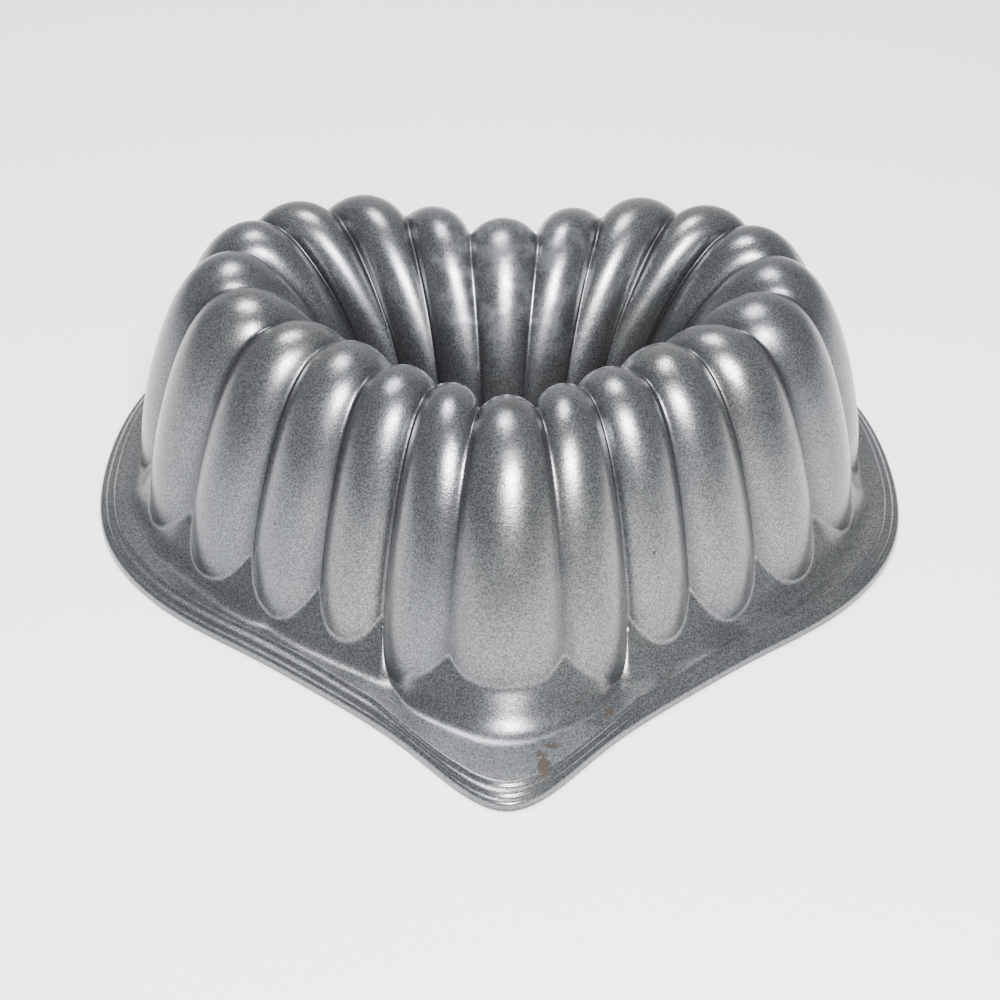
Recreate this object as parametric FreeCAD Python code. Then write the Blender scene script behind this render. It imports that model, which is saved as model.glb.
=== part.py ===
import FreeCAD, Part

import math
import os

# Heart-shaped fluted cake pan, standing mouth down on its rim.
# Frame: origin at the centre of the outline on the rim plane, +Z up, the point
# of the heart towards -Y, its two lobes towards +Y, mirror plane X = 0.
#
# The pan is one aluminium casting with a silver enamel film on the outside and a
# non-stick film on the inside. Its wall runs from the rim lip across a narrow
# flange, up sloping flat facets, up 22 rounded flutes, over the crown and down
# the funnel to the open end of the centre tube.

doc = FreeCAD.newDocument("heart_pan")

# ----------------------------------------------------------------- dimensions
sheet = doc.addObject("Spreadsheet::Sheet", "dims")
CELLS = [
    ("groove_height", 79.94),      # height of the groove bottoms over the crown
    ("facet_top", 20.71),          # height at which the grooves run out on the facets
    ("facet_slope", 56.0),        # slope of the flat facets, degrees from level
    ("tip_facet_turn", 28.0),     # how far the two facets beside the tip face away from -Y, degrees
    ("outer_round_plan", 0.953),   # superellipse exponents of the outer wall
    ("outer_round_rise", 1.835),
    ("inner_round_plan", 1.492),   # superellipse exponents of the funnel wall
    ("inner_round_rise", 1.084),
    ("funnel_foot", 9.34),        # height where the funnel profile ends
    ("flute_bulge", 0.265),       # rise of a flute over its chord, per unit width
    ("flange_height", 5.6),       # top of the flange
    ("facet_fillet", 5.0),        # blend between the flange and the facets
    ("lip_height", 3.0),          # height of the lip's upright edge
    ("lip_width", 5.0),           # width of the flat ring that the pan rests on
    ("wall_thickness", 3.0),      # casting wall
    ("enamel_film", 0.25),
    ("lining_film", 0.25),
    ("film_start", 0.6),          # both films stop this far above the rim plane
    ("tube_end", 8.0),            # height of the open end of the centre tube
    ("nose_round", 15.0),         # rounding of the ridge between the two tip facets
]
KNOTS = {
    # groove feet on the outer wall, from the tip to the cleft (mirrored for the other side)
    "outer": [
        (16.45, -84.27), (35.44, -66.63), (54.98, -54.66), (76.59, -39.53),
        (96.96, -19.05), (110.78, 10.04), (112.06, 44.38), (99.93, 76.04),
        (72.99, 94.96), (35.99, 99.46), (9.50, 83.96),
    ],
    # groove bottoms over the crown
    "crown": [
        (8.65, -45.33), (22.22, -34.53), (38.85, -27.10), (52.82, -12.33),
        (70.24, -3.50), (84.26, 17.26), (84.18, 40.04), (74.60, 57.23),
        (54.95, 63.53), (31.89, 58.94), (11.40, 49.28),
    ],
    # groove feet down the funnel
    "inner": [
        (5.00, -15.52), (14.00, -8.02), (23.00, -0.02), (31.99, 8.48),
        (40.49, 17.48), (47.59, 25.48), (48.39, 33.47), (41.29, 36.67),
        (30.19, 30.47), (19.00, 21.48), (6.20, 15.48),
    ],
    # edge of the rim, at the flutes
    "rim": [
        (0.00, -124.60), (26.39, -104.08), (52.25, -81.95), (78.42, -62.88),
        (105.89, -42.96), (128.06, -12.88), (135.00, 26.47), (128.50, 70.64),
        (103.68, 105.91), (62.99, 123.46), (25.00, 118.96), (0.00, 103.46),
    ],
}
row = 1
for name, value in CELLS:
    sheet.set("A%d" % row, name)
    sheet.set("B%d" % row, repr(float(value)))
    sheet.setAlias("B%d" % row, name)
    row += 1
for curve in sorted(KNOTS):
    for i, (x, y) in enumerate(KNOTS[curve]):
        for axis, value in (("across", x), ("along", y)):
            name = "%s_%s_%02d" % (curve, axis, i)
            sheet.set("A%d" % row, name)
            sheet.set("B%d" % row, repr(float(value)))
            sheet.setAlias("B%d" % row, name)
            row += 1
doc.recompute()


def cell(name):
    return float(getattr(sheet, name))


HG, ZF, ZI = cell("groove_height"), cell("facet_top"), cell("funnel_foot")
TAN = math.tan(math.radians(cell("facet_slope")))
COS = math.cos(math.radians(cell("facet_slope")))
AO, BO = cell("outer_round_plan"), cell("outer_round_rise")
AI, BI = cell("inner_round_plan"), cell("inner_round_rise")
KAP = cell("flute_bulge")
ZFL, KF = cell("flange_height"), cell("facet_fillet")
LIPH, LIPW = cell("lip_height"), cell("lip_width")
ZE = cell("tube_end")
NOSE = cell("nose_round")
FLUTES = 22
LONG = {0, 11} | {k for k in range(FLUTES) if k % 2}   # flutes that run down to the flange


# ------------------------------------------------------------- plan curves
class Periodic:
    """Closed cubic spline through 22 evenly spaced values, the first at t0."""

    def __init__(self, values, t0):
        self.y, self.t0, n = values, t0, len(values)
        self.n = n
        m = [0.0] * n
        rhs = [6.0 * (values[i - 1] - 2 * values[i] + values[(i + 1) % n]) for i in range(n)]
        for _ in range(80):
            for i in range(n):
                m[i] = (rhs[i] - m[i - 1] - m[(i + 1) % n]) / 4.0
        self.m = m

    def __call__(self, t):
        x = (t - self.t0) % self.n
        i = int(math.floor(x)) % self.n
        b = x - math.floor(x)
        a = 1.0 - b
        j = (i + 1) % self.n
        return a * self.y[i] + b * self.y[j] + ((a ** 3 - a) * self.m[i] + (b ** 3 - b) * self.m[j]) / 6.0


def plan(curve):
    """Plan curve from its half-outline knots, mirrored across X = 0."""
    count = len(KNOTS[curve])
    pts = [(cell("%s_across_%02d" % (curve, i)), cell("%s_along_%02d" % (curve, i))) for i in range(count)]
    if count == 11:      # knots at the grooves, half way between flutes
        xs = [-p[0] for p in pts] + [p[0] for p in reversed(pts)]
        ys = [p[1] for p in pts] + [p[1] for p in reversed(pts)]
        t0 = 0.5
    else:                # knots at the flutes, the first and last on X = 0
        xs = [-p[0] for p in pts] + [p[0] for p in reversed(pts[1:-1])]
        ys = [p[1] for p in pts] + [p[1] for p in reversed(pts[1:-1])]
        t0 = 0.0
    fx, fy = Periodic(xs, t0), Periodic(ys, t0)
    return lambda t: (fx(t), fy(t))


OUTER, CROWN, INNER, RIM = plan("outer"), plan("crown"), plan("inner"), plan("rim")


# ------------------------------------------------------------- small vectors
def add(a, b, f=1.0):
    return (a[0] + f * b[0], a[1] + f * b[1], a[2] + f * b[2])


def sub(a, b):
    return (a[0] - b[0], a[1] - b[1], a[2] - b[2])


def cross(a, b):
    return (a[1] * b[2] - a[2] * b[1], a[2] * b[0] - a[0] * b[2], a[0] * b[1] - a[1] * b[0])


def unit(a):
    d = math.sqrt(a[0] ** 2 + a[1] ** 2 + a[2] ** 2) or 1.0
    return (a[0] / d, a[1] / d, a[2] / d)


def dist(a, b):
    return math.sqrt((a[0] - b[0]) ** 2 + (a[1] - b[1]) ** 2 + (a[2] - b[2]) ** 2)


def resample(pts, count):
    """count points evenly spaced along a polyline."""
    run = [0.0]
    for a, b in zip(pts, pts[1:]):
        run.append(run[-1] + dist(a, b))
    out, j = [], 0
    for i in range(count):
        want = run[-1] * i / (count - 1)
        while j < len(pts) - 2 and run[j + 1] < want:
            j += 1
        f = (want - run[j]) / (run[j + 1] - run[j])
        f = min(1.0, max(0.0, f))
        out.append(add(pts[j], sub(pts[j + 1], pts[j]), f))
    out[0], out[-1] = pts[0], pts[-1]
    return out


# ------------------------------------------------------------- groove lines
STEPS, ROWS = 33, 71


def groove(i):
    """Bottom of the groove between flutes i and i + 1, from below the facets,
    over the crown, to below the tube's end."""
    s = i + 0.5
    c, o, n = CROWN(s), OUTER(s), INNER(s)
    pts = [(o[0] + 0.10 * (ZF - 1.0) * (o[0] - c[0]) / math.hypot(o[0] - c[0], o[1] - c[1]),
            o[1] + 0.10 * (ZF - 1.0) * (o[1] - c[1]) / math.hypot(o[0] - c[0], o[1] - c[1]), 1.0)]
    for a in range(STEPS):
        th = 0.5 * math.pi * a / (STEPS - 1)
        f = math.cos(th) ** AO if a < STEPS - 1 else 0.0
        pts.append((c[0] + (o[0] - c[0]) * f, c[1] + (o[1] - c[1]) * f, ZF + (HG - ZF) * math.sin(th) ** BO))
    for a in range(STEPS - 2, -1, -1):
        th = 0.5 * math.pi * a / (STEPS - 1)
        f = math.cos(th) ** AI
        pts.append((c[0] + (n[0] - c[0]) * f, c[1] + (n[1] - c[1]) * f, ZI + (HG - ZI) * (math.sin(th) ** BI if a else 0.0)))
    last, before = pts[-1], pts[-3]
    drop = unit(sub(last, before))
    if drop[2] > -0.6:
        drop = unit((drop[0], drop[1], -0.9))
    pts.append(add(last, drop, (last[2] - ZE + 7.0) / -drop[2]))
    pts = resample(pts, ROWS)
    for _ in range(10):      # eases the crown
        pts = [pts[0]] + [tuple(0.25 * pts[j - 1][c] + 0.5 * pts[j][c] + 0.25 * pts[j + 1][c] for c in range(3))
                          for j in range(1, ROWS - 1)] + [pts[-1]]
    return pts


GROOVE = [groove(i) for i in range(FLUTES)]
RC = 1.0 / (8.0 * KAP) + KAP / 2.0      # radius of a flute's arc over its chord


FADE = []      # flutes grow shallower down the funnel
for j in range(ROWS):
    x = min(1.0, max(0.0, (j / (ROWS - 1) - 0.50) / 0.42))
    FADE.append(1.0 - 0.45 * x * x * (3 - 2 * x))


def arc(u):
    return (math.sqrt(RC * RC - u * u / 4.0) - (RC - KAP)) / KAP


def frame_of(k):
    """Both edges of flute k, its widths and its outward directions, row by row."""
    a, b = GROOVE[(k - 1) % FLUTES], GROOVE[k % FLUTES]
    mid = [tuple((p[c] + q[c]) / 2 for c in range(3)) for p, q in zip(a, b)]
    out = []
    for j in range(ROWS):
        t = unit(sub(mid[min(j + 1, ROWS - 1)], mid[max(j - 1, 0)]))
        chord = sub(b[j], a[j])
        n = unit(cross(chord, t))
        out.append((a[j], b[j], chord, math.sqrt(sum(x * x for x in chord)), n, unit(chord)))
    if out[ROWS // 2][4][2] < 0:
        out = [(p, q, ch, w, (-n[0], -n[1], -n[2]), cu) for p, q, ch, w, n, cu in out]
    return out


FRAME = [frame_of(k) for k in range(FLUTES)]
EDGE_N = []
for i in range(FLUTES):      # outward direction along each groove
    EDGE_N.append([unit(add(FRAME[i][j][4], FRAME[(i + 1) % FLUTES][j][4])) for j in range(ROWS)])


def flute_line(k, u, t):
    """Line u (-1 to 1 across flute k) of the flute's surface, set t inside the outer face."""
    w = min(1.0, max(0.0, (abs(u) - 0.75) / 0.25))
    w = w * w * (3 - 2 * w)
    turn = math.asin(u / (2 * RC)) * (1 - w)
    edge = EDGE_N[k % FLUTES] if u > 0 else EDGE_N[(k - 1) % FLUTES]
    out = []
    for j in range(ROWS):
        a, b, chord, width, n, cu = FRAME[k][j]
        p = add(add(a, chord, (1 + u) / 2), n, width * KAP * FADE[j] * arc(u))
        if t:
            phi = turn * FADE[j]
            m = unit(add(tuple(x * (1 - w) for x in n), edge[j], w))
            d = unit(tuple(m[c] * math.cos(phi) + cu[c] * math.sin(phi) for c in range(3)))
            p = add(p, d, -t * (1 + 0.35 * w))
        out.append(p)
    return out


# ------------------------------------------------------------- facets
def facet(a, b):
    """Sloping plane whose level line at facet_top runs through plan points a and b."""
    tx, ty = b[0] - a[0], b[1] - a[1]
    d = math.hypot(tx, ty)
    return ((a[0] + b[0]) / 2, (a[1] + b[1]) / 2, -ty / d, tx / d)


def own_facets(k, u):
    """Facets on the two sides of line u of flute k, each with its share."""
    k = k % FLUTES
    if k == 0:
        return [(FACETS["tip_left"] if u >= 0 else FACETS["tip_right"], 1.0)]
    if k == 11:
        return [(FACETS[10] if u <= 0 else FACETS[12], 1.0)]
    if k % 2 == 0:
        return [(FACETS[k], 1.0)]
    after = FACETS["tip_right"] if k == 21 else FACETS[k + 1]
    before = FACETS["tip_left"] if k == 1 else FACETS[k - 1]
    w = min(1.0, max(0.0, (u + 0.35) / 0.7))
    w = w * w * (3 - 2 * w)
    return [(after, w), (before, 1.0 - w)]


def groove_foot(i):
    return OUTER(i + 0.5)


FACETS = {k: facet(groove_foot(k - 1), groove_foot(k)) for k in range(2, 21, 2)}


def tip_facet(i, side):
    p = groove_foot(i)
    turn = math.radians(cell("tip_facet_turn"))
    return (p[0], p[1], side * math.sin(turn), -math.cos(turn))


FACETS["tip_left"] = tip_facet(0, -1.0)
FACETS["tip_right"] = tip_facet(21, 1.0)


def soft_max(a, b, k):
    d = k - abs(a - b)
    return max(a, b) + (d * d / (4 * k) if d > 0 else 0.0)


def soft_min(a, b, k):
    return -soft_max(-a, -b, k)


def rise_at(k, u, p):
    if k % FLUTES == 0:      # the two tip facets meet in a rounded nose under the tip flute
        left, right = [ZF - TAN * ((p[0] - f[0]) * f[2] + (p[1] - f[1]) * f[3])
                       for f in (FACETS["tip_left"], FACETS["tip_right"])]
        return soft_min(left, right, NOSE)
    return sum(w * (ZF - TAN * ((p[0] - f[0]) * f[2] + (p[1] - f[1]) * f[3])) for f, w in own_facets(k, u))


DROP = {}      # lets the long flutes run down to the flange
for k in range(1, FLUTES, 2):
    if k != 11:
        low = next(p for p in flute_line(k, 0.0, 0.0) if p[2] > 8.0)
        DROP[k] = max(0.0, rise_at(k, 0.0, low) - ZFL - 1.0)


def skirt_height(k, u, p, t):
    """Height of the flange and facets over plan point p, set t inside the outer face."""
    rise = rise_at(k, u, p) - DROP.get(k % FLUTES, 0.0) * (1 - abs(u)) ** 1.5 - t / COS
    return soft_max(rise, ZFL - t, KF)


SKIRT_ROWS, FLUTE_ROWS = 8, 23


def column(k, u, t, lip):
    """One line of the surface from the rim to the tube's end: the lip's corners,
    the skirt (flange and facet) and the flute."""
    line = flute_line(k, u, t)
    over = [p[2] - skirt_height(k, u, p, t) for p in line]
    j = next(i for i in range(ROWS - 1) if over[i] <= 0 < over[i + 1] or (i == 0 and over[0] > 0))
    f = 0.0 if over[0] > 0 else -over[j] / (over[j + 1] - over[j])
    foot = add(line[j], sub(line[j + 1], line[j]), f)
    foot = (foot[0], foot[1], skirt_height(k, u, foot, t))
    r = RIM(k + u / 2)
    ex, ey = foot[0] - r[0], foot[1] - r[1]
    d = math.hypot(ex, ey)
    ex, ey = ex / d, ey / d
    corners = [(r[0] + ex * i, r[1] + ey * i, z) for i, z in lip]
    start = lip[-1][0]
    skirt = []
    for i in range(SKIRT_ROWS):
        q = start + (d - start) * i / (SKIRT_ROWS - 1)
        x, y = r[0] + ex * q, r[1] + ey * q
        skirt.append((x, y, skirt_height(k, u, (x, y, 0.0), t)))
    skirt[0] = corners[-1]
    skirt[-1] = foot
    rest = [foot] + line[j + 1:]
    cut = next(i for i in range(len(rest) - 1, 0, -1) if rest[i - 1][2] > ZE >= rest[i][2])
    f = (rest[cut - 1][2] - ZE) / (rest[cut - 1][2] - rest[cut][2])
    end = add(rest[cut - 1], sub(rest[cut], rest[cut - 1]), f)
    rest = rest[:cut] + [(end[0], end[1], ZE)]
    return corners, skirt, resample(rest, FLUTE_ROWS)


# ------------------------------------------------------------- patches
def knot_vector(n):
    d = min(3, n - 1)
    t = [i / (n - 1) for i in range(n)]
    inner = [sum(t[j:j + d]) / d for j in range(1, n - d)]
    return d, t, [0.0] * (d + 1) + inner + [1.0] * (d + 1)


def basis(i, d, x, kv):
    if d == 0:
        return 1.0 if kv[i] <= x < kv[i + 1] or (x == kv[-1] and kv[i] < kv[i + 1] == kv[-1]) else 0.0
    a = kv[i + d] - kv[i]
    b = kv[i + d + 1] - kv[i + 1]
    left = (x - kv[i]) / a * basis(i, d - 1, x, kv) if a else 0.0
    right = (kv[i + d + 1] - x) / b * basis(i + 1, d - 1, x, kv) if b else 0.0
    return left + right


INVERSE = {}


def inverse(n):
    """Matrix that turns n points, evenly spaced in the parameter, into the poles of
    the cubic through them. Equal edge points give equal edges on both neighbours."""
    if n not in INVERSE:
        d, t, kv = knot_vector(n)
        m = [[basis(j, d, x, kv) for j in range(n)] + [1.0 if i == r else 0.0 for i in range(n)] for r, x in enumerate(t)]
        for c in range(n):
            p = max(range(c, n), key=lambda r: abs(m[r][c]))
            m[c], m[p] = m[p], m[c]
            f = m[c][c]
            m[c] = [x / f for x in m[c]]
            for r in range(n):
                if r != c and m[r][c]:
                    g = m[r][c]
                    m[r] = [x - g * y for x, y in zip(m[r], m[c])]
        INVERSE[n] = [r[n:] for r in m]
    return INVERSE[n]


def multiplicities(n):
    d, _, kv = knot_vector(n)
    knots = sorted(set(kv))
    return d, knots, [kv.count(k) for k in knots]


def patch(grid):
    """Face through a grid of points."""
    nu, nv = len(grid), len(grid[0])
    au, av = inverse(nu), inverse(nv)
    half = [[tuple(sum(av[j][r] * grid[i][r][c] for r in range(nv)) for c in range(3)) for j in range(nv)] for i in range(nu)]
    poles = [[FreeCAD.Vector(*[sum(au[i][r] * half[r][j][c] for r in range(nu)) for c in range(3)]) for j in range(nv)] for i in range(nu)]
    du, ku, mu = multiplicities(nu)
    dv, kv, mv = multiplicities(nv)
    s = Part.BSplineSurface()
    s.buildFromPolesMultsKnots(poles, mu, mv, ku, kv, False, False, du, dv)
    return s.toShape()


def curve_edge(points):
    n = len(points)
    a = inverse(n)
    poles = [FreeCAD.Vector(*[sum(a[i][r] * points[r][c] for r in range(n)) for c in range(3)]) for i in range(n)]
    d, k, m = multiplicities(n)
    c = Part.BSplineCurve()
    c.buildFromPolesMultsKnots(poles, m, k, False, d)
    return c.toShape()


def spans():
    """Flute by flute, the runs of lines that share one patch."""
    for k in range(FLUTES):
        if k in LONG:
            yield k, [-1.0, -0.87, -0.7, -0.5, -0.32, -0.15, 0.0]
            yield k, [0.0, 0.15, 0.32, 0.5, 0.7, 0.87, 1.0]
        else:
            yield k, [-1.0, -0.8, -0.55, -0.28, 0.0, 0.28, 0.55, 0.8, 1.0]


def surface(t, lip):
    """All the faces of the surface set t inside the outer face, with the edges of its
    two open ends: the lip's first corner and the tube's end."""
    faces, low, high = [], [], []
    cache = {}

    def col(k, u):
        # a groove is the last line of one flute and the first of the next
        key = (k % FLUTES, u) if u != -1.0 else ((k - 1) % FLUTES, 1.0)
        if key not in cache:
            cache[key] = column(key[0], key[1], t, lip)
        return cache[key]

    for k, us in spans():
        cols = [col(k, u) for u in us]
        for r in range(len(lip) - 1):
            faces.append(patch([[c[0][r], c[0][r + 1]] for c in cols]))
        faces.append(patch([c[1] for c in cols]))
        faces.append(patch([c[2] for c in cols]))
        low.append(curve_edge([c[0][0] for c in cols]))
        high.append(curve_edge([c[2][-1] for c in cols]))
    return faces, Part.Wire(low), Part.Wire(high)


def ring(a, b):
    face = Part.makeFace([a, b], "Part::FaceMakerBullseye")
    return face


def closed(first, second):
    """Solid between two surfaces, closed by a flat ring at the lip and one at the tube's end."""
    faces = first[0] + second[0] + ring(first[1], second[1]).Faces + ring(first[2], second[2]).Faces
    shell = Part.makeCompound(faces)
    shell = shell.sewShape(0.01) or shell
    shell = shell.Shells[0]
    solid = Part.Solid(shell)
    if solid.Volume < 0:
        solid = Part.Solid(shell.reversed())
    return solid


def outer_lip(t, z0):
    step = [(0.25, LIPH), (2.3, LIPH + 0.5), (2.9, LIPH + 1.3), (5.0, LIPH + 1.7), (5.6, ZFL - 0.02)]
    return [(t, z0)] + [(i + t, z - t) for i, z in step]


def inner_lip(t, z0):
    return [(LIPW + t, z0), (LIPW + t + 0.5, ZFL - t - 0.02)]


EN, LN = cell("enamel_film"), cell("lining_film")
WALL = cell("wall_thickness")
START = cell("film_start")
T1, T2 = EN, EN + WALL
T3 = T2 + LN

casting_shape = closed(surface(T1, outer_lip(T1, 0.0)), surface(T2, inner_lip(T2 - T2, 0.0)))
enamel_shape = closed(surface(0.0, outer_lip(0.0, START)), surface(T1, outer_lip(T1, START)))
lining_shape = closed(surface(T2, inner_lip(0.0, START)), surface(T3, inner_lip(LN, START)))


# ------------------------------------------------------------- document
def form(name, label, shape):
    o = doc.addObject("Part::Feature", name)
    o.Label = label
    o.Shape = shape
    o.Placement = FreeCAD.Placement()
    return o


casting = form("PanCasting", "pan_casting", casting_shape)
enamel = form("ExteriorEnamel", "exterior_enamel", enamel_shape)
lining = form("NonstickLining", "nonstick_lining", lining_shape)
doc.recompute()

NODES = [casting, enamel, lining]
for o in doc.Objects:
    bad = [x for x in o.State if x in ("Invalid", "Error")]
    if bad:
        raise RuntimeError("%s is %s" % (o.Label, bad))
for o in NODES:
    s = o.Shape
    if s.isNull() or not s.isValid() or len(s.Solids) != 1:
        raise RuntimeError("%s has no valid solid" % o.Label)

os.makedirs("parts", exist_ok=True)
for o in NODES:
    o.Shape.exportStep("parts/%s.step" % o.Label)
    b = o.Shape.BoundBox
    print("%-18s volume %.1f cm3  box %.2f x %.2f x %.2f  z %.2f to %.2f" % (
        o.Label, o.Shape.Volume / 1000, b.XLength, b.YLength, b.ZLength, b.ZMin, b.ZMax))
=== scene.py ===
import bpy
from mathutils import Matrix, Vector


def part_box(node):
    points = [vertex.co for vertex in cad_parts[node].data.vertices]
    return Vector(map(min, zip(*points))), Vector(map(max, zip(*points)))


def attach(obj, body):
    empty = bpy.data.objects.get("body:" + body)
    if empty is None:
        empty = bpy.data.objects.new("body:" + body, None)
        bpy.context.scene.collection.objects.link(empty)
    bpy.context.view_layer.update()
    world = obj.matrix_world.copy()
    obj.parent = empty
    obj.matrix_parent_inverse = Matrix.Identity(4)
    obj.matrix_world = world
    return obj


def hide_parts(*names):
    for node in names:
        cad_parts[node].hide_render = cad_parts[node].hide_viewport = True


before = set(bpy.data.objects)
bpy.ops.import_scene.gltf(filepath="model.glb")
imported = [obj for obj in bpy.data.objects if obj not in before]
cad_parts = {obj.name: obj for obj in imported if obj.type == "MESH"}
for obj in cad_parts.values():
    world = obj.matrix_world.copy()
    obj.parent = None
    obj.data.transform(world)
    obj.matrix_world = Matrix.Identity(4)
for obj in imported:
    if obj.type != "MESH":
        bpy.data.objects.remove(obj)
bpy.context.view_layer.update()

import math

import bpy
import numpy as np
from mathutils import Matrix, Vector

# ------------------------------------------------------------------ sizes (mm)
OUTER_K = [(16.45, -84.27), (35.44, -66.63), (54.98, -54.66), (76.59, -39.53), (96.96, -19.05), (110.78, 10.04),
           (112.06, 44.38), (99.93, 76.04), (72.99, 94.96), (35.99, 99.46), (9.50, 83.96)]
CROWN_K = [(8.65, -45.33), (22.22, -34.53), (38.85, -27.10), (52.82, -12.33), (70.24, -3.50), (84.26, 17.26),
           (84.18, 40.04), (74.60, 57.23), (54.95, 63.53), (31.89, 58.94), (11.40, 49.28)]
INNER_K = [(5.00, -15.52), (14.00, -8.02), (23.00, -0.02), (31.99, 8.48), (40.49, 17.48), (47.59, 25.48),
           (48.39, 33.47), (41.29, 36.67), (30.19, 30.47), (19.00, 21.48), (6.20, 15.48)]
RIM_K = [(0.00, -124.60), (26.39, -104.08), (52.25, -81.95), (78.42, -62.88), (105.89, -42.96), (128.06, -12.88),
         (135.00, 26.47), (128.50, 70.64), (103.68, 105.91), (62.99, 123.46), (25.00, 118.96), (0.00, 103.46)]
HG, ZF, ZI = 79.94, 20.71, 9.34
TAN, COS = math.tan(math.radians(56.0)), math.cos(math.radians(56.0))
AO, BO, AI, BI = 0.953, 1.835, 1.492, 1.084
KAP, ZFL, KF, TIP = 0.265, 5.6, 5.0, math.radians(28.0)
LIPH, LIPW, ZE, START = 3.0, 5.0, 8.0, 0.6
T1, T2, T3 = 0.25, 3.25, 3.5
FLUTES, ROWS, UP = 22, 71, 4
NOSE = 15.0


class Periodic:
    def __init__(self, values, t0):
        y = np.array(values, float)
        self.y, self.t0, self.n = y, t0, len(y)
        n = self.n
        A = np.zeros((n, n))
        for i in range(n):
            A[i, i] = 4
            A[i, i - 1] += 1
            A[i, (i + 1) % n] += 1
        self.m = np.linalg.solve(A, 6 * (np.roll(y, 1) - 2 * y + np.roll(y, -1)))

    def __call__(self, t):
        x = (t - self.t0) % self.n
        i = int(math.floor(x)) % self.n
        b = x - math.floor(x)
        a, j = 1 - b, (i + 1) % self.n
        return a * self.y[i] + b * self.y[j] + ((a ** 3 - a) * self.m[i] + (b ** 3 - b) * self.m[j]) / 6


def plan(pts):
    if len(pts) == 11:
        xs = [-p[0] for p in pts] + [p[0] for p in reversed(pts)]
        ys = [p[1] for p in pts] + [p[1] for p in reversed(pts)]
        t0 = 0.5
    else:
        xs = [-p[0] for p in pts] + [p[0] for p in reversed(pts[1:-1])]
        ys = [p[1] for p in pts] + [p[1] for p in reversed(pts[1:-1])]
        t0 = 0.0
    fx, fy = Periodic(xs, t0), Periodic(ys, t0)
    return lambda t: (fx(t), fy(t))


OUTER, CROWN, INNER, RIM = plan(OUTER_K), plan(CROWN_K), plan(INNER_K), plan(RIM_K)


def unit(a):
    return a / np.maximum(np.linalg.norm(a, axis=-1, keepdims=True), 1e-9)


def along(p):
    return np.concatenate([[0.0], np.cumsum(np.linalg.norm(np.diff(p, axis=0), axis=1))])


def at(p, s, want):
    return np.stack([np.interp(want, s, p[:, c]) for c in range(3)], 1)


def groove(i):
    s = i + 0.5
    c, o, n = CROWN(s), OUTER(s), INNER(s)
    h = math.hypot(o[0] - c[0], o[1] - c[1])
    pts = [(o[0] + 0.10 * (ZF - 1) * (o[0] - c[0]) / h, o[1] + 0.10 * (ZF - 1) * (o[1] - c[1]) / h, 1.0)]
    for a in range(33):
        th = 0.5 * math.pi * a / 32
        f = math.cos(th) ** AO if a < 32 else 0.0
        pts.append((c[0] + (o[0] - c[0]) * f, c[1] + (o[1] - c[1]) * f, ZF + (HG - ZF) * math.sin(th) ** BO))
    for a in range(31, -1, -1):
        th = 0.5 * math.pi * a / 32
        f = math.cos(th) ** AI
        pts.append((c[0] + (n[0] - c[0]) * f, c[1] + (n[1] - c[1]) * f, ZI + (HG - ZI) * (math.sin(th) ** BI if a else 0.0)))
    pts = np.array(pts, float)
    drop = unit(pts[-1] - pts[-3])
    if drop[2] > -0.6:
        drop = unit(np.array((drop[0], drop[1], -0.9)))
    pts = np.vstack([pts, pts[-1] + drop * ((pts[-1][2] - ZE + 7.0) / -drop[2])])
    s = along(pts)
    pts = at(pts, s, np.linspace(0, s[-1], ROWS))
    for _ in range(10):
        pts[1:-1] = 0.25 * pts[:-2] + 0.5 * pts[1:-1] + 0.25 * pts[2:]
    # finer, through the same points
    m = np.gradient(pts, axis=0)
    out = []
    for j in range(ROWS - 1):
        for q in range(UP):
            x = q / UP
            out.append((2 * x ** 3 - 3 * x * x + 1) * pts[j] + (x ** 3 - 2 * x * x + x) * m[j]
                       + (3 * x * x - 2 * x ** 3) * pts[j + 1] + (x ** 3 - x * x) * m[j + 1])
    out.append(pts[-1])
    return np.array(out)


G = [groove(i) for i in range(FLUTES)]
R = len(G[0])
RC = 1 / (8 * KAP) + KAP / 2
_x = np.clip((np.arange(R) / (R - 1) - 0.50) / 0.42, 0, 1)
FADE = 1 - 0.45 * _x * _x * (3 - 2 * _x)


def arc(u):
    return (math.sqrt(RC * RC - u * u / 4) - (RC - KAP)) / KAP


FR = []
for k in range(FLUTES):
    a, b = G[k - 1], G[k]
    t = unit(np.gradient((a + b) / 2, axis=0))
    ch = b - a
    n = unit(np.cross(ch, t))
    if n[R // 2][2] < 0:
        n = -n
    FR.append((a, b, ch, np.linalg.norm(ch, axis=1), n, unit(ch)))
EDGE = [unit(FR[i][4] + FR[(i + 1) % FLUTES][4]) for i in range(FLUTES)]


def flute_line(k, u, t):
    w = min(1.0, max(0.0, (abs(u) - 0.75) / 0.25))
    w = w * w * (3 - 2 * w)
    turn = math.asin(u / (2 * RC)) * (1 - w)
    edge = EDGE[k] if u > 0 else EDGE[k - 1]
    a, b, ch, width, n, cu = FR[k]
    p = a + ch * ((1 + u) / 2) + n * (width * KAP * FADE * arc(u))[:, None]
    if t:
        m = unit(n * (1 - w) + edge * w)
        phi = (turn * FADE)[:, None]
        p = p - unit(m * np.cos(phi) + cu * np.sin(phi)) * t * (1 + 0.35 * w)
    return p


def facet(a, b):
    tx, ty = b[0] - a[0], b[1] - a[1]
    d = math.hypot(tx, ty)
    return ((a[0] + b[0]) / 2, (a[1] + b[1]) / 2, -ty / d, tx / d)


foot_of = lambda i: OUTER(i + 0.5)
FACETS = {k: facet(foot_of(k - 1), foot_of(k)) for k in range(2, 21, 2)}
FACETS["l"] = (*foot_of(0), -math.sin(TIP), -math.cos(TIP))
FACETS["r"] = (*foot_of(21), math.sin(TIP), -math.cos(TIP))


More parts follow.
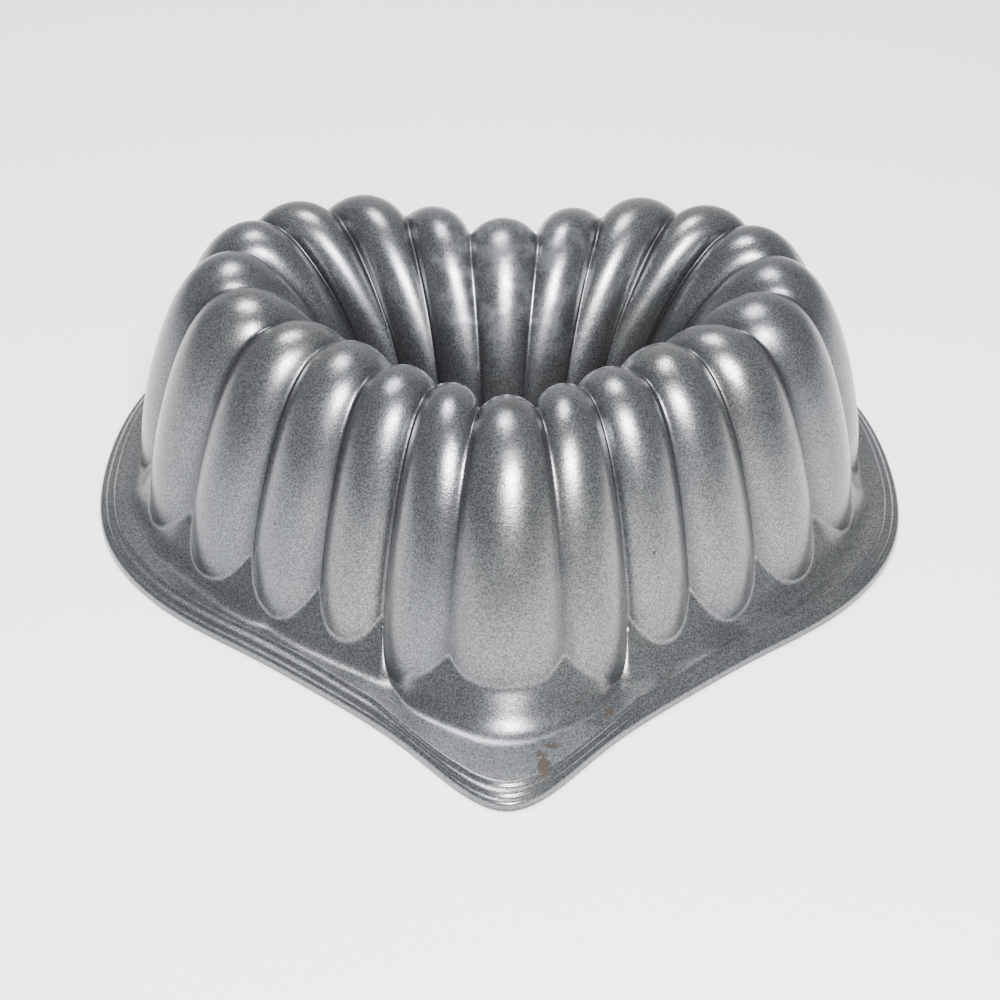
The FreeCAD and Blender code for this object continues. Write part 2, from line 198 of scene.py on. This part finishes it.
def own(k, u):
    if k == 0:
        return [(FACETS["l"] if u >= 0 else FACETS["r"], 1.0)]
    if k == 11:
        return [(FACETS[10] if u <= 0 else FACETS[12], 1.0)]
    if k % 2 == 0:
        return [(FACETS[k], 1.0)]
    after = FACETS["r"] if k == 21 else FACETS[k + 1]
    before = FACETS["l"] if k == 1 else FACETS[k - 1]
    w = min(1.0, max(0.0, (u + 0.35) / 0.7))
    w = w * w * (3 - 2 * w)
    return [(after, w), (before, 1 - w)]


def rise(k, u, p):
    if k == 0:
        a, b = [ZF - TAN * ((p[:, 0] - f[0]) * f[2] + (p[:, 1] - f[1]) * f[3]) for f in (FACETS["l"], FACETS["r"])]
        d = NOSE - np.abs(a - b)
        return np.minimum(a, b) - np.where(d > 0, d * d / (4 * NOSE), 0)
    return sum(w * (ZF - TAN * ((p[:, 0] - f[0]) * f[2] + (p[:, 1] - f[1]) * f[3])) for f, w in own(k, u))


DROP = {}
for k in range(1, FLUTES, 2):
    if k != 11:
        line = flute_line(k, 0.0, 0.0)[::UP]
        low = line[np.argmax(line[:, 2] > 8.0)]
        DROP[k] = max(0.0, float(rise(k, 0.0, low[None])[0]) - ZFL - 1.0)


def skirt_z(k, u, p, t):
    a = rise(k, u, p) - DROP.get(k, 0.0) * (1 - abs(u)) ** 1.5 - t / COS
    b = ZFL - t
    d = KF - np.abs(a - b)
    return np.maximum(a, b) + np.where(d > 0, d * d / (4 * KF), 0)


def rounded(pts, cut=1.5, steps=4):
    """Profile with its inner corners rounded."""
    pts = [np.array(p, float) for p in pts]
    out = [pts[0]]
    for a, b, c in zip(pts, pts[1:], pts[2:]):
        da, dc = np.linalg.norm(a - b), np.linalg.norm(c - b)
        p, q = b + (a - b) * min(cut / da, 0.45), b + (c - b) * min(cut / dc, 0.45)
        for i in range(steps + 1):
            x = i / steps
            out.append((1 - x) ** 2 * p + 2 * x * (1 - x) * b + x * x * q)
    out.append(pts[-1])
    return out


def outer_lip(t, z0):
    step = [(0.25, LIPH), (2.3, LIPH + 0.5), (2.9, LIPH + 1.3), (5.0, LIPH + 1.7), (5.6, ZFL - 0.02)]
    return rounded([(t, z0)] + [(i + t, z - t) for i, z in step])


def inner_lip(t, z0):
    return rounded([(LIPW + t, z0), (LIPW + t + 0.5, ZFL - t - 0.02)])


NEAR = np.array([0, 0.35, 0.75, 1.2, 1.7, 2.3, 3.0])
SK = 22
FL = 118


def column(k, u, t, lip):
    line = flute_line(k, u, t)
    over = line[:, 2] - skirt_z(k, u, line, t)
    if over[0] > 0:
        j, f = 0, 0.0
    else:
        j = int(np.argmax((over[:-1] <= 0) & (over[1:] > 0)))
        f = -over[j] / (over[j + 1] - over[j])
    foot = line[j] + (line[j + 1] - line[j]) * f
    foot[2] = skirt_z(k, u, foot[None], t)[0]
    r = np.array(RIM(k + u / 2))
    e = foot[:2] - r
    d = float(np.linalg.norm(e))
    e = e / d
    corners = np.array([(r[0] + e[0] * i, r[1] + e[1] * i, z) for i, z in lip])
    start = lip[-1][0]
    span = d - start
    near = min(1.0, 0.5 * span / 3.0)
    q = np.concatenate([np.linspace(start, d - 3.0 * near, SK)[:-1], d - NEAR[::-1] * near])
    sk = np.stack([r[0] + e[0] * q, r[1] + e[1] * q, q * 0], 1)
    sk[:, 2] = skirt_z(k, u, sk, t)
    sk[0] = corners[-1]
    sk[-1] = foot
    rest = np.vstack([foot[None], line[j + 1:]])
    above = np.nonzero(rest[:, 2] > ZE)[0][-1]
    f = (rest[above, 2] - ZE) / (rest[above, 2] - rest[above + 1, 2])
    end = rest[above] + (rest[above + 1] - rest[above]) * f
    end[2] = ZE
    rest = np.vstack([rest[:above + 1], end[None]])
    s = along(rest)
    want = np.concatenate([NEAR, np.linspace(3.0, s[-1], FL)[1:]])
    fl = at(rest, s, want)
    # fillet where the flute stands on the skirt
    rad = min(1.5, 2.8 * near)
    both = np.vstack([sk[:-1], fl])
    sb = along(both)
    s0 = sb[len(sk) - 1]
    A, B = at(both, sb, [s0 - rad])[0], at(both, sb, [s0 + rad])[0]
    F = both[len(sk) - 1].copy()
    sel = np.nonzero(np.abs(sb - s0) < rad)[0]
    x = ((sb[sel] - s0 + rad) / (2 * rad))[:, None]
    both[sel] = (1 - x) ** 2 * A + 2 * x * (1 - x) * F + x * x * B
    return np.vstack([corners, both[1:]])


US = [-1, -0.965, -0.92, -0.86, -0.78, -0.68, -0.56, -0.43, -0.29, -0.145]
US = [float(u) for u in US] + [0.0] + [-float(u) for u in reversed(US[1:])]
NU = len(US)


def grid(t, lip):
    """Columns round the pan, one after the other: (columns, rows, 3) in mm."""
    cols = [column(k, u if u != -1 else 1.0, t, lip) if u != -1 else column((k - 1) % FLUTES, 1.0, t, lip)
            for k in range(FLUTES) for u in US]
    g = np.array(cols)
    nl = len(lip)
    tight = [i for i in range(len(g)) if abs(US[i % NU]) > 0.9]
    first = nl + SK + len(NEAR) - 7
    for _ in range(3):
        s = 0.25 * np.roll(g, 1, 0) + 0.5 * g + 0.25 * np.roll(g, -1, 0)
        g[tight, first:-1] = s[tight, first:-1]
    return g


def shell(name, a, b, node, mat):
    """Closed skin between two grids."""
    lo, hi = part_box(node)
    lo, hi = np.array(lo), np.array(hi)
    verts, faces = [], []
    n = 0
    base = []
    for g in (a, b):
        base.append(n)
        verts.append(g.reshape(-1, 3) / 1000)
        n += g.shape[0] * g.shape[1]
    v = np.clip(np.concatenate(verts), lo, hi)
    C = a.shape[0]

    def quads(off, rows, flip):
        for c in range(C):
            d = (c + 1) % C
            for r in range(rows - 1):
                q = (off + c * rows + r, off + d * rows + r, off + d * rows + r + 1, off + c * rows + r + 1)
                faces.append(q[::-1] if flip else q)
    quads(base[0], a.shape[1], False)
    quads(base[1], b.shape[1], True)
    ra, rb = a.shape[1], b.shape[1]
    for c in range(C):
        d = (c + 1) % C
        faces.append((base[0] + d * ra, base[0] + c * ra, base[1] + c * rb, base[1] + d * rb))
        faces.append((base[0] + c * ra + ra - 1, base[0] + d * ra + ra - 1,
                      base[1] + d * rb + rb - 1, base[1] + c * rb + rb - 1))
    me = bpy.data.meshes.new(name)
    me.from_pydata(v.tolist(), [], faces)
    me.update()
    vol = 0.0
    tri = v[np.array(faces)]
    for i, j, k in ((0, 1, 2), (0, 2, 3)):
        vol += float(np.einsum("ij,ij->i", tri[:, i], np.cross(tri[:, j], tri[:, k])).sum()) / 6
    if vol < 0:
        me.flip_normals()
    smooth = np.ones(len(me.polygons), bool)
    smooth[-2 * C:] = False
    me.polygons.foreach_set("use_smooth", smooth)
    # per-vertex weight for the painted shade that darkens the enamel in the grooves
    groove_shade_attr = me.attributes.new("groove", "FLOAT", "POINT")
    groove_shade_weights = []
    for g in (a, b):
        u = np.abs(np.array([US[c % NU] for c in range(C)]))
        w = np.clip((u - 0.70) / 0.30, 0, 1) ** 1.5
        w = np.repeat(w[:, None], g.shape[1], 1)
        w[:, :g.shape[1] - FL - 3] = 0
        groove_shade_weights.append(w.ravel())
    groove_shade_attr.data.foreach_set("value", np.concatenate(groove_shade_weights).astype(np.float32))
    me.materials.append(mat)
    ob = bpy.data.objects.new(name, me)
    bpy.context.scene.collection.objects.link(ob)
    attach(ob, "root")
    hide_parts(node)
    return ob


# ------------------------------------------------------------------ materials
class Nodes:
    def __init__(self, name):
        self.mat = bpy.data.materials.new(name)
        self.mat.use_nodes = True
        self.t = self.mat.node_tree
        self.t.nodes.clear()
        self.out = self.t.nodes.new("ShaderNodeOutputMaterial")
        self.p = self.t.nodes.new("ShaderNodeBsdfPrincipled")
        self.t.links.new(self.p.outputs[0], self.out.inputs[0])
        self.co = self.t.nodes.new("ShaderNodeTexCoord").outputs["Object"]

    def put(self, sock, value):
        if isinstance(value, bpy.types.NodeSocket):
            self.t.links.new(value, sock)
        else:
            sock.default_value = value

    def noise(self, scale, detail=2.0, rough=0.5, co=None, distort=0.0):
        n = self.t.nodes.new("ShaderNodeTexNoise")
        self.put(n.inputs["Vector"], co or self.co)
        n.inputs["Scale"].default_value = scale
        n.inputs["Detail"].default_value = detail
        n.inputs["Roughness"].default_value = rough
        n.inputs["Distortion"].default_value = distort
        return n.outputs["Fac"]

    def cells(self, scale):
        n = self.t.nodes.new("ShaderNodeTexVoronoi")
        self.put(n.inputs["Vector"], self.co)
        n.inputs["Scale"].default_value = scale
        return n.outputs["Distance"], n.outputs["Color"]

    def map(self, v, a, b, c, d, smooth=False):
        n = self.t.nodes.new("ShaderNodeMapRange")
        n.interpolation_type = "SMOOTHSTEP" if smooth else "LINEAR"
        self.put(n.inputs[0], v)
        for i, x in enumerate((a, b, c, d)):
            self.put(n.inputs[i + 1], x)
        return n.outputs[0]

    def math(self, op, a, b=0.0):
        n = self.t.nodes.new("ShaderNodeMath")
        n.operation = op
        self.put(n.inputs[0], a)
        self.put(n.inputs[1], b)
        return n.outputs[0]

    def mix(self, f, a, b):
        n = self.t.nodes.new("ShaderNodeMix")
        n.data_type = "RGBA"
        self.put(n.inputs[0], f)
        self.put(n.inputs[6], a)
        self.put(n.inputs[7], b)
        return n.outputs[2]

    def bump(self, height, strength, distance, normal=None):
        n = self.t.nodes.new("ShaderNodeBump")
        n.inputs["Strength"].default_value = strength
        n.inputs["Distance"].default_value = distance
        self.put(n.inputs["Height"], height)
        if normal is not None:
            self.put(n.inputs["Normal"], normal)
        return n.outputs[0]

    def spot(self, centre, radius, squash=(1, 1, 1), ragged=0.5, scale=900):
        """1 inside a ragged patch round a point (metres), 0 outside."""
        n = self.t.nodes.new("ShaderNodeVectorMath")
        n.operation = "SUBTRACT"
        self.put(n.inputs[0], self.co)
        n.inputs[1].default_value = centre
        m = self.t.nodes.new("ShaderNodeVectorMath")
        m.operation = "MULTIPLY"
        self.put(m.inputs[0], n.outputs[0])
        m.inputs[1].default_value = squash
        d = self.t.nodes.new("ShaderNodeVectorMath")
        d.operation = "LENGTH"
        self.put(d.inputs[0], m.outputs[0])
        rag = self.map(self.noise(scale, 3), 0.3, 0.7, 1 - ragged, 1 + ragged)
        return self.map(self.math("DIVIDE", d.outputs["Value"], self.math("MULTIPLY", rag, radius)), 0.85, 1.1, 1.0, 0.0, True)

    def scratch(self, p, q, width=0.00025, scale=700):
        """1 on a thin wavering line from p to q (metres)."""
        p, q = Vector(p), Vector(q)
        mid, run = (p + q) / 2, (q - p)
        L = run.length
        run.normalize()
        n = self.t.nodes.new("ShaderNodeVectorMath")
        n.operation = "SUBTRACT"
        self.put(n.inputs[0], self.co)
        n.inputs[1].default_value = mid
        dot = self.t.nodes.new("ShaderNodeVectorMath")
        dot.operation = "DOT_PRODUCT"
        self.put(dot.inputs[0], n.outputs[0])
        dot.inputs[1].default_value = run
        crs = self.t.nodes.new("ShaderNodeVectorMath")
        crs.operation = "CROSS_PRODUCT"
        self.put(crs.inputs[0], n.outputs[0])
        crs.inputs[1].default_value = run
        ln = self.t.nodes.new("ShaderNodeVectorMath")
        ln.operation = "LENGTH"
        self.put(ln.inputs[0], crs.outputs[0])
        inside = self.map(self.math("ABSOLUTE", dot.outputs["Value"]), L * 0.42, L * 0.5, 1.0, 0.0, True)
        w = self.map(self.noise(scale, 2), 0.35, 0.65, width * 0.3, width * 1.6)
        on = self.map(self.math("SUBTRACT", ln.outputs["Value"], w), 0.0, width * 0.6, 1.0, 0.0, True)
        return self.math("MULTIPLY", inside, on)


def rgb(r, g, b):
    lin = lambda c: (c / 255 / 12.92) if c / 255 <= 0.04045 else ((c / 255 + 0.055) / 1.055) ** 2.4
    return (lin(r), lin(g), lin(b), 1.0)


# chips and scratches: place on the outside (metres)
CHIPS = [
    ((0.0103, -0.1126, 0.0054), 0.0019, (1.0, 0.42, 1.0)),
    ((0.0091, -0.1080, 0.0054), 0.0010, (1.0, 0.7, 1.0)),
    ((0.0130, -0.1050, 0.0056), 0.0011, (0.6, 1.0, 1.0)),
    ((0.0299, -0.0914, 0.0055), 0.0011, (0.8, 0.6, 1.0)),
    ((0.0287, -0.0938, 0.0054), 0.0007, (1.0, 1.0, 1.0)),
    ((0.0426, -0.0622, 0.0409), 0.0006, (1.0, 1.0, 1.0)),
    ((0.0769, -0.0307, 0.0562), 0.0005, (1.0, 1.0, 1.0)),
    ((0.1075, -0.0205, 0.0078), 0.0007, (1.0, 1.0, 1.0)),
    ((-0.0680, -0.0480, 0.0392), 0.0005, (1.0, 1.0, 1.0)),
    ((-0.0335, -0.0786, 0.0072), 0.0007, (1.0, 1.0, 1.0)),
    ((0.0011, -0.0590, 0.0800), 0.0006, (1.0, 1.0, 1.0)),
    ((-0.0020, -0.0574, 0.0809), 0.0005, (1.0, 1.0, 1.0)),
]
WORN = [
    ((0.0008, -0.0480, 0.0828), 0.0030, (0.9, 0.9, 0.9)),
    ((0.0022, -0.0450, 0.0823), 0.0018, (1.0, 1.0, 1.0)),
]
LINES = [
    ((-0.0481, -0.0830, 0.0034), (-0.0352, -0.0933, 0.0035), 0.00022),
    ((-0.0385, -0.0849, 0.0056), (-0.0322, -0.0888, 0.0056), 0.00030),
    ((-0.0165, -0.1055, 0.0054), (-0.0104, -0.1137, 0.0053), 0.00022),
    ((-0.0077, -0.0954, 0.0120), (-0.0050, -0.1018, 0.0064), 0.00025),
]


def enamel():
    m = Nodes("silver_enamel")
    speck_d, speck_c = m.cells(2600)
    fine = m.noise(1900, 3, 0.6)
    coarse = m.noise(60, 4, 0.6)
    mott = m.noise(14, 3, 0.55, distort=0.4)
    grey = m.mix(m.map(mott, 0.35, 0.65, 0, 1), rgb(96, 98, 102), rgb(109, 110, 110))
    grey = m.mix(m.map(coarse, 0.4, 0.7, 0.0, 0.35), grey, rgb(86, 88, 92))
    flake = m.map(fine, 0.42, 0.60, 0.62, 1.42)
    n = m.t.nodes.new("ShaderNodeMix")
    n.data_type = "RGBA"
    n.blend_type = "MULTIPLY"
    n.inputs[0].default_value = 1.0
    m.put(n.inputs[6], grey)
    comb = m.t.nodes.new("ShaderNodeCombineColor")
    for i in range(3):
        m.put(comb.inputs[i], flake)
    m.put(n.inputs[7], comb.outputs[0])
    col = n.outputs[2]
    # painted shade darkening the grooves, lighter mottling down the cleft side of the funnel
    g = m.t.nodes.new("ShaderNodeAttribute")
    g.attribute_name = "groove"
    # painted shade: the groove weight darkens the colour towards rgb(54, 55, 58)
    painted_groove_shade = m.math("MULTIPLY", g.outputs["Fac"], m.map(coarse, 0.3, 0.7, 0.55, 0.85))
    col = m.mix(painted_groove_shade, col, rgb(54, 55, 58))
    blotch = m.math("MULTIPLY", m.spot((0.0, 0.039, 0.074), 0.026, (1.0, 1.1, 1.0), 0.5, 90),
                    m.map(m.noise(160, 4, 0.6), 0.45, 0.62, 0.0, 0.5))
    col = m.mix(blotch, col, rgb(156, 158, 165))
    metal, rough = 0.88, m.map(m.noise(35, 4), 0.3, 0.7, 0.25, 0.33)
    for c, r, sq in CHIPS:
        s = m.spot(c, r, sq)
        col = m.mix(s, col, rgb(44, 37, 31))
        rough = m.math("ADD", rough, m.math("MULTIPLY", s, 0.25))
        metal = m.math("MULTIPLY", metal, m.math("SUBTRACT", 1.0, m.math("MULTIPLY", s, 0.8)))
    for c, r, sq in WORN:
        s = m.math("MULTIPLY", m.spot(c, r, sq, 0.7, 500), 0.65)
        col = m.mix(s, col, rgb(82, 80, 78))
    for p, q, w in LINES:
        s = m.math("MULTIPLY", m.scratch(p, q, w), 0.8)
        col = m.mix(s, col, rgb(92, 90, 90))
    m.put(m.p.inputs["Base Color"], col)
    m.put(m.p.inputs["Metallic"], metal)
    m.put(m.p.inputs["Roughness"], rough)
    nb = m.bump(m.noise(2300, 2, 0.6), 0.55, 0.00010)
    nb = m.bump(m.noise(230, 3, 0.5), 0.25, 0.00025, nb)
    nb = m.bump(m.noise(30, 2, 0.5), 0.20, 0.0008, nb)
    m.put(m.p.inputs["Normal"], nb)
    m.p.inputs["Coat Weight"].default_value = 0.3
    m.p.inputs["Coat Roughness"].default_value = 0.27
    return m.mat


def bare():
    m = Nodes("bare_aluminium")
    col = m.mix(m.map(m.noise(120, 4), 0.35, 0.65, 0, 1), rgb(150, 150, 150), rgb(176, 176, 175))
    m.put(m.p.inputs["Base Color"], col)
    m.p.inputs["Metallic"].default_value = 1.0
    m.put(m.p.inputs["Roughness"], m.map(m.noise(400, 3), 0.3, 0.7, 0.38, 0.58))
    m.put(m.p.inputs["Normal"], m.bump(m.noise(900, 3, 0.6), 0.4, 0.0001))
    return m.mat


def lining():
    m = Nodes("nonstick")
    col = m.mix(m.map(m.noise(40, 4), 0.35, 0.65, 0, 1), rgb(52, 52, 54), rgb(66, 66, 68))
    m.put(m.p.inputs["Base Color"], col)
    m.p.inputs["Metallic"].default_value = 0.25
    m.put(m.p.inputs["Roughness"], m.map(m.noise(300, 3), 0.3, 0.7, 0.36, 0.5))
    m.put(m.p.inputs["Normal"], m.bump(m.noise(1800, 2, 0.6), 0.35, 0.00008))
    return m.mat


# ------------------------------------------------------------------ pieces
outside = grid(0.0, outer_lip(0.0, START))
under = grid(T1, outer_lip(T1, START))
metal_out = grid(T1, outer_lip(T1, 0.0))
metal_in = grid(T2, inner_lip(0.0, 0.0))
coat_out = grid(T2, inner_lip(0.0, START))
coat_in = grid(T3, inner_lip(T3 - T2, START))
shell("enamel_skin", outside, under, "exterior_enamel", enamel())
shell("casting_body", metal_out, metal_in, "pan_casting", bare())
shell("lining_skin", coat_out, coat_in, "nonstick_lining", lining())

# ------------------------------------------------------------------ floor
fm = Nodes("floor_pale")
fm.put(fm.p.inputs["Base Color"], fm.mix(fm.map(fm.noise(3, 2), 0.3, 0.7, 0, 1), (0.92, 0.92, 0.92, 1), (0.94, 0.94, 0.94, 1)))
fm.p.inputs["Roughness"].default_value = 0.8
me = bpy.data.meshes.new("floor")
S, B, N = 3.0, 1.6, 24
prof = [(-S, 0.0), (B, 0.0)]
for i in range(1, N + 1):
    a = i / N * math.pi / 2
    prof.append((B + 0.8 * math.sin(a), 0.8 * (1 - math.cos(a))))
prof.append((B + 0.8, 4.0))
fv, ff = [], []
for y, z in prof:
    fv += [(-S, y, z), (S, y, z)]
for i in range(len(prof) - 1):
    ff.append((2 * i, 2 * i + 1, 2 * i + 3, 2 * i + 2))
me.from_pydata(fv, [], ff)
for p in me.polygons:
    p.use_smooth = True
me.materials.append(fm.mat)
floor = bpy.data.objects.new("floor", me)
floor.location.z = -0.0001
bpy.context.scene.collection.objects.link(floor)

# ------------------------------------------------------------------ light
world = bpy.data.worlds.new("studio")
bpy.context.scene.world = world
world.use_nodes = True
world.node_tree.nodes["Background"].inputs[0].default_value = (0.93, 0.96, 1.0, 1)
world.node_tree.nodes["Background"].inputs[1].default_value = 0.50


def area(name, where, target, size, power, size_y=None):
    d = bpy.data.lights.new(name, "AREA")
    d.energy = power
    d.size = size
    if size_y:
        d.shape = "RECTANGLE"
        d.size_y = size_y
    o = bpy.data.objects.new(name, d)
    o.location = where
    o.rotation_mode = "QUATERNION"
    o.rotation_quaternion = (Vector(target) - Vector(where)).to_track_quat("-Z", "Y")
    bpy.context.scene.collection.objects.link(o)
    return o


area("key", (0.14, -0.95, 0.95), (0, 0, 0.04), 0.36, 58.0, 0.24)
area("top", (-0.15, 0.30, 1.3), (0, 0, 0.04), 0.45, 22.0)

# ------------------------------------------------------------------ camera
YAW, EL, ROLL, TX, TY, D, FPX = 0.025160881378225777, 0.6727210437935061, -0.022081417518799402, 0.4684253863759764, -8.38202956990866, 562.5333537731991, 1697.5224609373333
SHIFT, K = 0.5200998141376587, 0.9998078517360387
c, s = math.cos(YAW), math.sin(YAW)
ce, se = math.cos(EL), math.sin(EL)
cr, sr = math.cos(ROLL), math.sin(ROLL)
Rx = Vector((c, -s, 0))
Ru = Vector((s * se, c * se, ce))
Rf = Vector((s * ce, c * ce, -se))
right = cr * Rx - sr * Ru
up = sr * Rx + cr * Ru
pos = -TX * right - TY * up - D * Rf
pos = Vector((K * pos.x, K * (pos.y - SHIFT), K * pos.z)) / 1000
cam_data = bpy.data.cameras.new("camera")
cam_data.sensor_width = 36
cam_data.lens = FPX / 1000 * 36
cam_data.clip_start, cam_data.clip_end = 0.01, 20
cam = bpy.data.objects.new("camera", cam_data)
cam.rotation_mode = "QUATERNION"
cam.rotation_quaternion = Matrix((right, up, -Rf)).transposed().to_quaternion()
cam.location = pos
bpy.context.scene.collection.objects.link(cam)
bpy.context.scene.camera = cam

bpy.context.view_layer.update()
